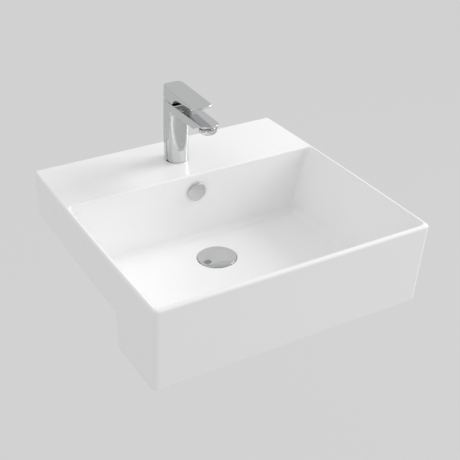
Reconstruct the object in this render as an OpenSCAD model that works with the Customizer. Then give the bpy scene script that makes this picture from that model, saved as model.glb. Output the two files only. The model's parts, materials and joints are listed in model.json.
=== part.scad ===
// Semi-recessed ceramic washbasin with a single-lever mixer tap, an overflow
// cap and a click-clack waste. The rear of the basin sits in a bench cut-out;
// the front stands proud of the cabinet. Millimetres, +Z up, -Y to the user.
// The origin is on the bench top, under the middle of the basin's rear foot.

/* [Basin] */
// Overall width of the basin
basin_w = 465; // [440:1:520]
// Overall depth of the basin, front to back
basin_d = 470; // [460:1:520]
// Height of the rim above the bench top
rim_h = 81; // [78:1:95]
// How far the front skirt hangs below the bench top
skirt_drop = 64; // [60:1:90]
// Depth of the front skirt, front face to cabinet face
skirt_d = 134; // [110:1:160]
// How far the front face leans back over its full height
front_lean = 16; // [0:1:24]
// Radius of the upright outer corners at the front
corner_r = 9; // [6:1:20]
// Radius of the upright outer corners at the rear
rear_corner_r = 4; // [3:0.5:12]
// Thickness of the ceramic walls
wall = 12; // [10:0.5:13]

/* [Bowl] */
// Width of the bowl at the rim
bowl_w = 448; // [400:1:448]
// Width of the bowl at its floor
bowl_floor_w = 394; // [360:1:400]
// Depth of the bowl below the rim
bowl_depth = 121; // [110:1:126]
// Depth of the flat tap deck behind the bowl
deck_d = 147; // [140:1:160]
// Extra fall of the floor towards the waste
floor_fall = 4; // [2:0.5:6]

/* [Fittings] */
// Distance from the front edge to the middle of the waste
waste_y = 252; // [230:1:260]
// Distance from the front edge to the tap axis
tap_y = 394; // [385:1:400]
// Radius of the tap column at the deck
tap_base_r = 20.8; // [20:0.1:23]
// Reach from the tap axis to the middle of the aerator
spout_reach = 116; // [105:1:120]
// Height of the top of the spout above the deck
spout_top = 110; // [108:1:112]
// Radius of the overflow cap
overflow_cap_r = 15.9; // [14:0.1:17]

/* [Hidden] */
$fn = 64;
eps = 0.01;
clear = 0.3;                    // gap between parts that move past each other
fit = 0.05;                     // gap between parts assembled by hand

seat_w = 24;                    // width of the ground foot under the rear wall
seat_y = basin_d - seat_w / 2;  // front edge to the middle of that foot
deck_y = basin_d - deck_d;      // front edge of the tap deck
rim_t = 8.5;                    // thickness of the rim at the front
deck_t = 14;                    // thickness of the tap deck
floor_z = rim_h - bowl_depth;   // level of the bowl floor at its edges
under_z = floor_z - wall;       // underside of the bowl
crease_r = 14;                  // radius between bowl walls and floor
bowl_corner_r = 11;             // radius of the bowl's upright corners
front_slope = 24;               // run of the bowl's sloping front wall
back_slope = 2;                 // run of its nearly upright back wall

// waste, levels in the bench frame
waste_hole_r = 22.5;
recess_r = 33.5;
dish_z = floor_z - floor_fall;  // floor level at the waste recess
recess_z = dish_z - 2.5;        // bottom of the recess under the flange
boss_r = 42;
boss_z = -84;                   // underside of the waste boss
tail_r = 20.95;                 // G 1 1/4 tail below the back nut
neck_of_tail_r = 20.7;          // plain part between the flange and that thread
tail_top_z = -104;              // where the thread begins
tail_bore_r = 18;
tail_end_z = -150;
channel_w = 30;                 // overflow channel inside the ceramic
channel_t = 10;
channel_z = -66;                // middle of the channel under the floor
overflow_z = rim_h - 31;
overflow_hole_r = 12;
flange_r = 32;
flange_t = 2.5;
flange_z = recess_z + 1;        // underside of the flange, on its gasket
flange_top = flange_z + flange_t;
cap_r = 33;                     // domed plug
cap_z = flange_top + 0.5;       // underside of the closed plug
spindle_r = 3;
spindle_end_z = -70;
click_floor_z = -77;
web_z = -72;                    // cross web inside the tail

// tap, levels above the deck
axis_r_top = 17.6;              // column radius under the lever
column_top = spout_top;
slab_t = 14.5;                  // thickness of the flat spout
spout_w_root = 35;
tip_half_w = 15.6;              // half width where the sides meet the rounded tip
tip_r = 18.5;                   // radius of that tip in plan
tip_y = -(spout_reach + 17);    // foremost point
neck_r = 15.2;                  // ring around the cartridge
cart_r = 12.4;                  // 25 mm ceramic-disc cartridge
cart_z = 76;
cart_top = 100;
rotor_neck_r = 8.1;
pivot_z = 104;                  // hinge of the lever
stem_ball_z = 91;
disc_open = 2.2;                // disc centre, behind the axis when closed
stem_r = 2.4;                   // ball that moves the disc
stem_shank_r = 2.1;
stem_half = 3;
stem_square_z = 113;            // where the stem turns square for the lever
stem_top = 126;
lever_screw_z = 122;
index_y = 12.9;                 // bottom of the hole that the small plug closes
aerator_r = 14.8;               // collar that shows below the tip
aerator_neck_r = 12;            // its M24 thread
aerator_z = 93.8;               // outlet face of the aerator
lever_z = spout_top + 1;        // underside of the lever's block
lever_top_back = 135.4;
lever_top_tip = 130.8;
lever_tip_y = -103;             // foremost point
lever_tip_r = 29;               // radius of the tip in plan
lever_w_back = 35;
lever_w_tip = 37;
lever_back_y = 16;               // rearmost point, at its foot
lever_corner_r = 9.5;           // upright corners at the back
lever_cavity_r = 15.7;
stud_y = 10;
stud_r = 3;
inlet_x = 7.5;
inlet_y = -4;
inlet_r = 5;                    // M10 hose thread
inlet_depth = 18;
water_r = 2.6;

// ---- placing ----
module at_seat() translate([0, -seat_y, 0]) children();
module at_waste() translate([0, waste_y - seat_y, 0]) children();
module at_tap() translate([0, tap_y - seat_y, rim_h]) children();
module at_aerator() at_tap() translate([0, -spout_reach, 0]) children();
module at_overflow() translate([0, deck_y - seat_y, overflow_z]) rotate([90, 0, 0]) children();

// ---- shapes used more than once ----
module ring(r_out, r_in, z0, z1) {
    translate([0, 0, z0]) difference() {
        cylinder(r = r_out, h = z1 - z0);
        translate([0, 0, -eps]) cylinder(r = r_in, h = z1 - z0 + 2 * eps);
    }
}
module rod(r, z0, z1) translate([0, 0, z0]) cylinder(r = r, h = z1 - z0);
module square_bar(half, z0, z1) translate([-half, -half, z0]) cube([2 * half, 2 * half, z1 - z0]);
module rounded_rect(w, d, front_r, rear_r) {
    // front edge on y = 0, middle on x = 0
    translate([-w / 2 + front_r, 0]) square([w - 2 * front_r, d / 2]);
    translate([-w / 2 + rear_r, d / 2]) square([w - 2 * rear_r, d / 2]);
    translate([-w / 2, front_r]) square([w, d - front_r - rear_r]);
    for (x = [-1, 1]) {
        translate([x * (w / 2 - front_r), front_r]) circle(r = front_r);
        translate([x * (w / 2 - rear_r), d - rear_r]) circle(r = rear_r);
    }
}
module along_x(len) rotate([90, 0, 90]) translate([0, 0, -len / 2]) linear_extrude(len) children();
module along_y(y0, y1) translate([0, y1, 0]) rotate([90, 0, 0]) linear_extrude(y1 - y0) children();
module hex_prism(across, z0, z1) {
    translate([0, 0, z0]) cylinder(d = across / cos(30), h = z1 - z0, $fn = 6);
}

// ---- basin ----
function lean_y(z) = front_lean * (rim_h - z) / (rim_h + skirt_drop);

module basin_outline() {
    polygon([
        [0, rim_h], [basin_d, rim_h], [basin_d, 0], [skirt_d, 0],
        [skirt_d, -skirt_drop], [front_lean, -skirt_drop]
    ]);
}
module basin_block() {
    intersection() {
        translate([0, 0, -skirt_drop - 1])
            linear_extrude(rim_h + skirt_drop + 2) rounded_rect(basin_w, basin_d, corner_r, rear_corner_r);
        along_x(basin_w + 2) basin_outline();
    }
}
// Arc between floor and wall: x, z is their sharp corner, side is the way
// the wall faces, and lean is the wall's angle from upright
crease_steps = 6;
function crease(x, z, side, lean, r) =
    let (middle = x + side * (r * tan(lean) - r / cos(lean)))
    [for (i = [0:crease_steps]) let (a = (90 - lean) * i / crease_steps)
        [middle + side * r * sin(a), z + r - r * cos(a)]];
function reversed(list) = [for (i = [len(list) - 1:-1:0]) list[i]];

// Section of the bowl between two walls, from the floor up past the rim
module bowl_section(left_top, left_floor, right_floor, right_top, t) {
    r = crease_r + t / 2;
    top = rim_h + 1;
    floor_level = floor_z - t;
    rise = top - floor_level;
    left = crease(left_floor - t, floor_level, -1, atan((left_floor - left_top) / rise), r);
    right = crease(right_floor + t, floor_level, 1, atan((right_top - right_floor) / rise), r);
    polygon(concat([[left_top - t, top]], reversed(left), right, [[right_top + t, top]]));
}
module bowl_side_section(t) {
    // the outside of the rear wall is upright, the inside is not quite
    bowl_section(rim_t, rim_t + front_slope, deck_y + back_slope, t > 0 ? deck_y + back_slope : deck_y, t);
}
module bowl_front_section(t) {
    bowl_section(-bowl_w / 2, -bowl_floor_w / 2, bowl_floor_w / 2, bowl_w / 2, t);
}
module bowl_form(t) {
    intersection() {
        along_x(basin_w + 20) bowl_side_section(t);
        along_y(-20, basin_d) bowl_front_section(t);
        translate([0, rim_t - t, floor_z - t - 1])
            linear_extrude(bowl_depth + t + 3)
                rounded_rect(bowl_w + 2 * t, deck_y - rim_t + back_slope + 2 * t,
                    bowl_corner_r + t, bowl_corner_r + t);
    }
}
// Overflow channel: down behind the bowl, then under the floor to the waste
module duct(w, t, top) {
    back = deck_y + back_slope + wall;
    translate([-w / 2, back + channel_t / 2 - t / 2, channel_z - t / 2])
        cube([w, t, top - channel_z + t / 2]);
    translate([-w / 2, waste_y, channel_z - t / 2])
        cube([w, back - waste_y + channel_t / 2 + t / 2, t]);
}
module basin() {
    hollow_w = basin_w - 2 * (wall + 14);
    color("white") at_seat() difference() {
        union() {
            difference() {
                basin_block();
                // open space under the tap deck
                translate([-hollow_w / 2, deck_y + back_slope + wall, -1])
                    cube([hollow_w, deck_d - back_slope - wall - seat_w, rim_h - deck_t + 1]);
                // open underside of the front skirt
                translate([-basin_w / 2 + wall, front_lean + wall, -skirt_drop - 1])
                    cube([basin_w - 2 * wall, skirt_d, skirt_drop + under_z + 1]);
            }
            intersection() {
                bowl_form(wall);
                translate([-basin_w / 2, 20, under_z]) cube([basin_w, deck_y, -under_z + 10]);
            }
            translate([0, waste_y, 0]) rod(boss_r, boss_z, floor_z - 2);
            duct(channel_w + 2 * wall, channel_t + 2 * wall - 4, rim_h - deck_t + 1);
        }
        bowl_form(0);
        translate([0, waste_y, dish_z]) cylinder(r1 = recess_r + 2, r2 = 150, h = floor_fall + eps);
        translate([0, waste_y, 0]) rod(recess_r, recess_z, floor_z + 1);
        translate([0, waste_y, 0]) rod(waste_hole_r, boss_z - 1, floor_z + 1);
        duct(channel_w, channel_t, overflow_z + overflow_hole_r + 2);
        translate([0, deck_y + back_slope + wall + 1, overflow_z])
            rotate([90, 0, 0]) cylinder(r = overflow_hole_r, h = 20);
        translate([0, tap_y, 0]) rod(17.5, rim_h - deck_t - 1, rim_h + 1);
    }
}

// ---- overflow ----
module overflow_cap() {
    color("silver") at_overflow() {
        translate([0, 0, 3]) rotate_extrude() polygon([
            [0, 0], [overflow_cap_r - 1.4, 0], [overflow_cap_r, 0.5], [overflow_cap_r, 1.4],
            [overflow_cap_r - 1, 2.1], [0, 2.6]
        ]);
        for (a = [45:90:315]) rotate(a) translate([8.4, -1.5, -5]) cube([1.5, 3, 8.5]);
    }
}
module overflow_sleeve() {
    color("silver") at_overflow() rotate_extrude() polygon([
        [10.1, -9], [11.2, -9], [11.2, 0.1], [12.9, 0.1], [12.9, 1.1], [10.1, 1.1]
    ]);
}
module overflow_seal() {
    color("dimgray") at_overflow() ring(overflow_hole_r - 0.05, 11.25, -6, -2);
}

// ---- waste ----
module waste_body() {
    slot_z = channel_z;
    color("silver") at_waste() difference() {
        union() {
            ring(flange_r, tail_bore_r, flange_z, flange_top);
            ring(neck_of_tail_r, tail_bore_r, tail_top_z - eps, flange_top - eps);
            ring(tail_r, tail_bore_r, tail_end_z, tail_top_z);
            for (a = [0:120:240]) rotate(a) translate([8, -1.5, web_z]) cube([tail_bore_r - 7, 3, 6]);
            ring(9, 5.05, web_z, web_z + 6);
        }
        translate([0, 0, flange_top - 1]) cylinder(r = 30.4, h = 2);
        for (a = [45:90:315]) rotate(a) translate([10, -5, slot_z - 4]) cube([20, 10, 8]);
    }
}
module waste_flange_gasket() color("whitesmoke") at_waste() ring(flange_r - 1, tail_r + 0.1, recess_z, flange_z);
module waste_tapered_gasket() {
    color("dimgray") at_waste() rotate_extrude() polygon([
        [tail_r + 0.1, boss_z - 8], [30, boss_z - 8], [30, boss_z], [waste_hole_r - 0.1, boss_z],
        [tail_r + 0.4, boss_z + 5], [tail_r + 0.1, boss_z + 5]
    ]);
}
module waste_slip_washer() color("white") at_waste() ring(31, tail_r + 0.15, boss_z - 9.5, boss_z - 8);
module waste_backnut() {
    nut_top = boss_z - 9.5;
    color("goldenrod") at_waste() difference() {
        union() {
            hex_prism(52, nut_top - 10, nut_top);
            rod(30.5, nut_top - 2, nut_top);
        }
        rod(tail_r + 0.05, nut_top - 11, nut_top + 1);
    }
}
module waste_plug() {
    color("silver") at_waste() {
        translate([0, 0, cap_z]) rotate_extrude() polygon(concat(
            [[0, 0], [30.6, 0], [30.6, 0.4], [cap_r - 0.8, 0.4], [cap_r, 1.2]],
            [for (a = [0:10:90]) [cap_r - 2 + 2 * cos(a), 2 + 1.2 * sin(a)]],
            [for (i = [1:8]) let (x = (cap_r - 2) * (1 - i / 8)) [x, 3.2 + 2.3 * (1 - pow(x / (cap_r - 2), 2))]]
        ));
        ring(6, spindle_r + fit, cap_z - 7, cap_z + eps);
    }
}
module plug_seal() color("dimgray") at_waste() ring(30, 26.5, cap_z - 1.2, cap_z);
module plug_spindle() color("silver") at_waste() rod(spindle_r, spindle_end_z, cap_z);
module click_cartridge() {
    color("goldenrod") at_waste() difference() {
        union() {
            rod(5, click_floor_z - 2, web_z + 6);
            rod(7.5, web_z + 6, cap_z - 16);
        }
        rod(spindle_r + clear, click_floor_z, cap_z);
    }
}
// Wire spring under the spindle, swept round its helix
spring_turns = 5;
spring_wire = 0.5;
spring_mean_r = 2.4;
spring_z0 = click_floor_z + spring_wire + 0.05;
spring_rise = spindle_end_z - click_floor_z - 2 * spring_wire - 0.1;
spring_steps = 14;
spring_sides = 8;
function spring_point(i, j) =
    let (a = 360 * i / spring_steps, b = 360 * j / spring_sides,
         r = spring_mean_r + spring_wire * cos(b))
    [r * cos(a), r * sin(a),
     spring_z0 + spring_rise * i / (spring_steps * spring_turns) + spring_wire * sin(b)];
module click_spring() {
    n = spring_steps * spring_turns;
    points = [for (i = [0:n], j = [0:spring_sides - 1]) spring_point(i, j)];
    walls = [for (i = [0:n - 1], j = [0:spring_sides - 1])
        let (k = (j + 1) % spring_sides, m = spring_sides)
        [i * m + j, (i + 1) * m + j, (i + 1) * m + k, i * m + k]];
    ends = [
        [for (j = [0:spring_sides - 1]) j],
        [for (j = [spring_sides - 1:-1:0]) n * spring_sides + j]
    ];
    color("gray") at_waste() polyhedron(points, concat(walls, ends));
}

// ---- tap body and its fixing ----
module spout_outline() {
    // side view of the flat spout, with the arch where it leaves the column
    arch_r = 12;
    polygon(concat(
        [[0, spout_top], [tip_y - 1, spout_top], [tip_y - 1, spout_top - 3],
         [tip_y + 11, spout_top - 4.5], [tip_y + 21, spout_top - 7.5],
         [tip_y + 29, spout_top - 11], [tip_y + 35, spout_top - slab_t]],
        [for (a = [90:-15:0]) [-16 - arch_r + arch_r * cos(a), spout_top - slab_t - arch_r + arch_r * sin(a)]],
        [[0, spout_top - slab_t - arch_r]]
    ));
}
module spout_plan() {
    half = asin(tip_half_w / tip_r);
    polygon(concat(
        [[-spout_w_root / 2, 0], [spout_w_root / 2, 0], [spout_w_root / 2, -40]],
        [for (i = [4:-1:-4]) [tip_r * sin(half * i / 4), tip_y + tip_r - tip_r * cos(half * i / 4)]],
        [[-spout_w_root / 2, -40]]
    ));
}
module tap_body() {
    color("silver") at_tap() difference() {
        union() {
            translate([0, 0, 0.5]) cylinder(r1 = tap_base_r, r2 = axis_r_top, h = column_top - 0.5);
            intersection() {
                along_x(60) spout_outline();
                linear_extrude(column_top + 10) spout_plan();
            }
        }
        rod(cart_r + 0.1, cart_z - 1, column_top + 1);
        rod(13.15, 99, column_top + 1);
        // mixed water: out of the chamber, up the front and along the spout
        translate([0, 0, cart_z - 3]) rotate([90, 0, 0]) cylinder(r = 1.8, h = 15.4, $fn = 32);
        rod(water_r, cart_z - 4, cart_z);
        translate([0, -15.4, 0]) rod(1.8, cart_z - 3, spout_top - 7, $fn = 32);
        translate([0, -15.4, spout_top - 7]) rotate([90, 0, 0])
            cylinder(r = water_r, h = spout_reach - 15.4, $fn = 32);
        translate([0, -spout_reach, 0]) {
            rod(aerator_neck_r - 1, aerator_z - 1, spout_top - 4);
            rod(aerator_neck_r + 0.15, aerator_z - 1, spout_top - 5);
            rod(aerator_r + 0.3, aerator_z - 5, spout_top - 7);
        }
        // hose inlets and their passages up to the cartridge
        for (s = [-1, 1]) {
            translate([s * inlet_x, inlet_y, 0]) rod(inlet_r, -1, inlet_depth);
            translate([s * inlet_x, inlet_y, 0]) rod(water_r, inlet_depth - 1, cart_z);
        }
        translate([0, stud_y, 0]) rod(stud_r + 0.02, -1, 16);
        ring(tap_base_r - 1.2, tap_base_r - 3, 0, 1.5);
    }
}
module tap_base_seal() color("dimgray") at_tap() ring(tap_base_r - 1.3, tap_base_r - 2.9, 0, 1.45);
module tap_stud() color("silver") at_tap() translate([0, stud_y, 0]) rod(stud_r, -50, 15);
module horseshoe(z0, z1, r) {
    difference() {
        rod(r, z0, z1);
        translate([-13, -30, z0 - 1]) cube([26, 34, z1 - z0 + 2]);
        translate([0, stud_y, 0]) rod(stud_r + 0.2, z0 - 1, z1 + 1);
    }
}
module horseshoe_rubber() color("dimgray") at_tap() horseshoe(-deck_t - 3, -deck_t, 24);
module horseshoe_plate() color("silver") at_tap() horseshoe(-deck_t - 5, -deck_t - 3, 23);
module stud_nut() {
    color("goldenrod") at_tap() translate([0, stud_y, 0]) difference() {
        hex_prism(10, -deck_t - 25, -deck_t - 5);
        rod(stud_r + fit, -deck_t - 26, -deck_t - 4);
    }
}

// ---- aerator ----
module aerator_housing() {
    color("silver") at_aerator() rotate_extrude() polygon([
        [8.5, aerator_z], [aerator_r - 2.6, aerator_z], [aerator_r - 0.5, aerator_z + 2.4],
        [aerator_r, aerator_z + 3.6], [aerator_r, spout_top - 7.3], [aerator_neck_r, spout_top - 7.3],
        [aerator_neck_r, spout_top - 6], [9.5, spout_top - 6], [9.5, aerator_z + 2], [8.5, aerator_z + 2]
    ]);
}
module aerator_core() {
    hole_r = 0.65;
    color("whitesmoke") at_aerator() difference() {
        rod(9.4, aerator_z + 2, spout_top - 7);
        for (n = [1:3], a = [0:360 / (6 * n):359]) rotate(a) translate([2.2 * n, 0, 0])
            rod(hole_r, aerator_z + 1, spout_top - 6, $fn = 16);
    }
}
module aerator_seal() color("dimgray") at_aerator() ring(11, 8.8, spout_top - 5.9, spout_top - 4.1);

// ---- ceramic-disc cartridge ----
module ports(z0, z1) {
    for (s = [-1, 1]) translate([s * 4.6, inlet_y, 0]) rod(2.2, z0, z1, $fn = 32);
    translate([0, 4.8, 0]) rod(2.4, z0, z1, $fn = 32);
}
module cartridge_housing() {
    color("whitesmoke") at_tap() difference() {
        rod(cart_r, cart_z, cart_top);
        rod(10.7, cart_z + 3, cart_top - 3);
        rod(rotor_neck_r + clear, cart_z + 3, cart_top + 1);
        ports(cart_z - 1, cart_z + 4);
    }
}
module cartridge_seals() {
    color("dimgray") at_tap() {
        for (s = [-1, 1]) translate([s * inlet_x, inlet_y, 0]) ring(3.6, 2.7, cart_z - 1, cart_z);
        translate([0, 4.8, 0]) ring(3.4, 2.5, cart_z - 1, cart_z);
    }
}
module fixed_disc() {
    color("lightgray") at_tap() difference() {
        rod(10.4, cart_z + 3, cart_z + 6);
        ports(cart_z + 2, cart_z + 7);
    }
}
module retaining_nut() {
    color("goldenrod") at_tap() difference() {
        rod(13.1, cart_top, column_top - 1.5);
        rod(rotor_neck_r + 0.6, cart_top - 1, column_top);
    }
}
module cartridge_shroud() {
    color("silver") at_tap() rotate_extrude() polygon([
        [9.4, column_top - 1.5], [13.1, column_top - 1.5], [13.1, column_top],
        [neck_r, column_top], [neck_r, column_top + 0.6], [12, column_top + 2.8], [9.4, column_top + 3]
    ]);
}
module cartridge_rotor() {
    color("whitesmoke") at_tap() difference() {
        union() {
            rod(10.3, cart_top - 6.5, cart_top - 3.3);
            rod(rotor_neck_r, cart_top - 4, column_top + 1);
        }
        translate([-3.3, -7.6, cart_top - 8]) cube([6.6, 13.6, 25]);
        translate([-20, 0, pivot_z]) rotate([0, 90, 0]) cylinder(r = 1.25, h = 40, $fn = 32);
    }
}
module stem_pin() {
    color("silver") at_tap() translate([-7.4, 0, pivot_z]) rotate([0, 90, 0])
        cylinder(r = 1.25, h = 14.8, $fn = 32);
}
module moving_disc() {
    color("lightgray") at_tap() translate([0, disc_open, 0]) difference() {
        rod(7.2, cart_z + 6.2, cart_z + 9);
        translate([0, 0.5, 0]) rod(3, cart_z + 5, cart_z + 7.6);
    }
}
module disc_carrier() {
    color("whitesmoke") at_tap() difference() {
        translate([0, disc_open, 0]) rod(7.2, cart_z + 9, cart_z + 16.5);
        square_bar(stem_r + clear, stem_ball_z - 4, stem_ball_z + 8);
    }
}
module cartridge_stem() {
    color("silver") at_tap() difference() {
        union() {
            rod(stem_shank_r, stem_ball_z, pivot_z);
            translate([0, 0, stem_ball_z]) sphere(r = stem_r);
            rod(stem_half, pivot_z - 4, stem_square_z);
            square_bar(stem_half, stem_square_z, stem_top);
        }
        translate([-10, 0, pivot_z]) rotate([0, 90, 0]) cylinder(r = 1.32, h = 20, $fn = 32);
    }
}

// ---- lever ----
module lever_outline() {
    // side view: flat top falling to the tip, deep block behind, thin blade in front
    // the block's underside rises to the rear, room for the lifted lever
    polygon([
        [-8, lever_z], [lever_back_y, lever_z + 6.5], [lever_back_y - 5.5, lever_top_back],
        [lever_tip_y - 1, lever_top_tip - 0.3], [lever_tip_y - 1, lever_top_tip - 2.8],
        [-81, 127], [-53, 125], [-37, 122], [-29, 117], [-24, lever_z]
    ]);
}
module lever_plan() {
    half = asin(lever_w_tip / 2 / lever_tip_r);
    inner = lever_w_back / 2 - lever_corner_r;
    polygon(concat(
        [for (i = [-4:4]) [lever_tip_r * sin(half * i / 4), lever_tip_y + lever_tip_r - lever_tip_r * cos(half * i / 4)]],
        [for (a = [0:15:90]) [inner + lever_corner_r * cos(a), lever_back_y - lever_corner_r * (1 - sin(a))]],
        [for (a = [90:15:180]) [-inner + lever_corner_r * cos(a), lever_back_y - lever_corner_r * (1 - sin(a))]]
    ));
}
module tap_lever() {
    color("silver") at_tap() difference() {
        intersection() {
            along_x(60) lever_outline();
            translate([0, 0, lever_z - 1]) linear_extrude(30) lever_plan();
        }
        difference() {
            rotate_extrude() polygon([
                [0, lever_z - 1], [lever_cavity_r, lever_z - 1], [lever_cavity_r, lever_z + 1.5],
                [12.8, lever_z + 5.5], [12.3, lever_z + 8], [9.5, lever_z + 14], [0, lever_z + 14]
            ]);
            // block around the stem, and the rib its screw runs through
            translate([-6, -6, lever_z + 5]) cube([12, 12, 20]);
            translate([-6, 0, lever_z + 6.5]) cube([12, 14, 20]);
        }
        square_bar(stem_half + fit, lever_z, stem_top + 0.1);
        translate([0, stem_half, lever_screw_z]) rotate([-90, 0, 0]) cylinder(r = 2, h = 20, $fn = 32);
        translate([0, index_y, lever_screw_z]) rotate([-90, 0, 0]) cylinder(r = 3, h = 20, $fn = 32);
    }
}
module lever_screw() {
    color("dimgray") at_tap() translate([0, stem_half, lever_screw_z]) rotate([-90, 0, 0]) difference() {
        cylinder(r = 2, h = 7, $fn = 32);
        translate([0, 0, 5]) cylinder(r = 1, h = 5, $fn = 6);
    }
}
module lever_index_plug() {
    color("silver") at_tap() translate([0, index_y, lever_screw_z]) rotate([-90, 0, 0]) cylinder(r = 2.95, h = 1.6, $fn = 32);
}

basin();
overflow_cap();
overflow_sleeve();
overflow_seal();
waste_body();
waste_flange_gasket();
waste_tapered_gasket();
waste_slip_washer();
waste_backnut();
waste_plug();
plug_seal();
plug_spindle();
click_cartridge();
click_spring();
tap_body();
tap_base_seal();
tap_stud();
horseshoe_rubber();
horseshoe_plate();
stud_nut();
aerator_housing();
aerator_core();
aerator_seal();
cartridge_housing();
cartridge_seals();
fixed_disc();
retaining_nut();
cartridge_shroud();
cartridge_rotor();
stem_pin();
moving_disc();
disc_carrier();
cartridge_stem();
tap_lever();
lever_screw();
lever_index_plug();
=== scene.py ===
"""Looks of the semi-recessed washbasin: glazed ceramic, chrome tap, overflow cap and domed waste.

The larger pieces are written as solid forms: functions of x, y, z in millimetres that are negative
inside the piece. surface_mesh() turns a form into a mesh whose points lie on the form's surface.
"""
import json
import math

import bpy
import numpy as np
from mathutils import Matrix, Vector


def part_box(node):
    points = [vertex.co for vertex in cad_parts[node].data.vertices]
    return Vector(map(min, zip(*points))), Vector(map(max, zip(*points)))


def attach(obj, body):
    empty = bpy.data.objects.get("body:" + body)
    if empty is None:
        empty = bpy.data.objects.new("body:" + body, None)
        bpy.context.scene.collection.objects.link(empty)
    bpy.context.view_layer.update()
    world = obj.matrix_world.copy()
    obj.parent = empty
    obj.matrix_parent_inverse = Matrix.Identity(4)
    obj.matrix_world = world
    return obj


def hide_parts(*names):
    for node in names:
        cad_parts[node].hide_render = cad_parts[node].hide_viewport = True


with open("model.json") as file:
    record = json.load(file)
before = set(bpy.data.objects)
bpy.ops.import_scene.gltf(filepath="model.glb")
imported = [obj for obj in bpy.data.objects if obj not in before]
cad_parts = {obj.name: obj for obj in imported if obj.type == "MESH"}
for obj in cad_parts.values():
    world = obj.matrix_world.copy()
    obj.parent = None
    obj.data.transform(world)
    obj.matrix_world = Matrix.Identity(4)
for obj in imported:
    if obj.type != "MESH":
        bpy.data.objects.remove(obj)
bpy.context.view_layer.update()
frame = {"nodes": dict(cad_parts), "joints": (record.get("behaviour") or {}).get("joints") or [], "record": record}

MM = 0.001

# ---------------------------------------------------------------- places, from the frame
basin_lo, basin_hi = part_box("basin")
plug_lo, plug_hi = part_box("waste_plug")
cap_lo, cap_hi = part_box("overflow_cap")
aerator_lo, aerator_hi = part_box("aerator_housing")
tail_lo, tail_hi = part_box("waste_body")
nut_lo, nut_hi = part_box("waste_backnut")
stud_lo, stud_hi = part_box("tap_stud")
RIM = basin_hi.z / MM                                  # rim above the bench
BASIN_D = (basin_hi.y - basin_lo.y) / MM
HALF_W = basin_hi.x / MM
WASTE_Y = ((plug_lo.y + plug_hi.y) / 2 - basin_lo.y) / MM
OVERFLOW_Z = (cap_lo.z + cap_hi.z) / 2 / MM
TAP_AT = Vector(next(j["pos_m"] for j in frame["joints"] if j["name"] == "lever_turn"))
TAP_Y = (TAP_AT.y - basin_lo.y) / MM
BASIN_ORIGIN = (0.0, basin_lo.y, 0.0)
TAP_ORIGIN = (0.0, TAP_AT.y, basin_hi.z)
WASTE_ORIGIN = (0.0, (plug_lo.y + plug_hi.y) / 2, 0.0)
REACH = TAP_Y - ((aerator_lo.y + aerator_hi.y) / 2 - basin_lo.y) / MM

# ---------------------------------------------------------------- solid forms
def round_max(a, b, r):
    """Where two forms overlap, with a round edge of radius r between their faces."""
    u = np.maximum(a + r, 0)
    v = np.maximum(b + r, 0)
    return np.minimum(-r, np.maximum(a, b)) + np.hypot(u, v)


def round_min(a, b, r):
    """Two forms joined, with a fillet of radius r between them."""
    return -round_max(-a, -b, r)


def between(value, low, high):
    """Negative where a coordinate lies between low and high."""
    return np.maximum(low - value, value - high)


def smooth_step(value, start, end):
    """0 before start, 1 after end, with a soft change between them."""
    t = np.clip((value - start) / (end - start), 0, 1)
    return t * t * (3 - 2 * t)


def grid_line(*spans):
    """Sorted grid positions from spans of (start, end, step)."""
    parts = [np.linspace(a, b, max(int(round((b - a) / step)), 1) + 1) for a, b, step in spans]
    return np.unique(np.concatenate(parts).round(4))


def mirrored(line):
    """The same grid positions on both sides of zero."""
    return np.unique(np.concatenate([-line, line]).round(4))


def gradient(form, p, step=0.004):
    """Which way the form grows at each point, and how fast."""
    rows = []
    for axis in range(3):
        d = np.zeros(3)
        d[axis] = step
        rows.append(form(*(p + d).T) - form(*(p - d).T))
    return np.stack(rows, 1) / (2 * step)


def crossings(values, lines, axis):
    """Grid edges of one axis that the surface crosses: their first corners, the points where it
    crosses them, and whether the form goes from inside to outside there."""
    first = [slice(None)] * 3
    second = [slice(None)] * 3
    first[axis] = slice(0, -1)
    second[axis] = slice(1, None)
    a = values[tuple(first)]
    b = values[tuple(second)]
    where = np.argwhere((a < 0) != (b < 0))
    at = tuple(where.T)
    t = a[at] / (a[at] - b[at])
    points = np.stack([lines[k][where[:, k]] for k in range(3)], 1)
    along = lines[axis]
    points[:, axis] += t * (along[where[:, axis] + 1] - along[where[:, axis]])
    return where, points, a[at] < 0


def cells_around(where, axis, shape):
    """The four grid cells that share each crossed grid edge, in turn around it."""
    u, v = [k for k in range(3) if k != axis]
    ring = []
    for du, dv in ((0, 0), (-1, 0), (-1, -1), (0, -1)):
        cell = where.copy()
        cell[:, u] += du
        cell[:, v] += dv
        ring.append(np.ravel_multi_index(tuple(cell.T), shape, mode="clip"))
    return np.stack(ring, 1)


def rough_surface(form, lines):
    """One point in each grid cell that the surface passes through, and the quads between them."""
    values = form(*np.meshgrid(*lines, indexing="ij"))
    shape = tuple(len(line) - 1 for line in lines)
    total = np.zeros((math.prod(shape), 3))
    count = np.zeros(len(total))
    quads = []
    for axis in range(3):
        where, points, leaves = crossings(values, lines, axis)
        quad = cells_around(where, axis, shape)
        for cells in quad.T:
            np.add.at(total, cells, points)
            np.add.at(count, cells, 1)
        flip = leaves if axis == 1 else ~leaves
        quad[flip] = quad[flip][:, ::-1]
        quads.append(quad)
    used, quads = np.unique(np.concatenate(quads), return_inverse=True)
    return total[used] / count[used][:, None], quads.reshape(-1, 4)


def settle(form, p, longest, rounds=8):
    """Moves points onto the surface along the gradient, in moves no longer than longest."""
    for _ in range(rounds):
        g = gradient(form, p)
        size = np.maximum((g * g).sum(1), 1e-9)
        move = -(form(*p.T) / size)[:, None] * g
        length = np.linalg.norm(move, axis=1)
        p = p + move * np.minimum(1, longest / np.maximum(length, 1e-9))[:, None]
    return p


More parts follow.
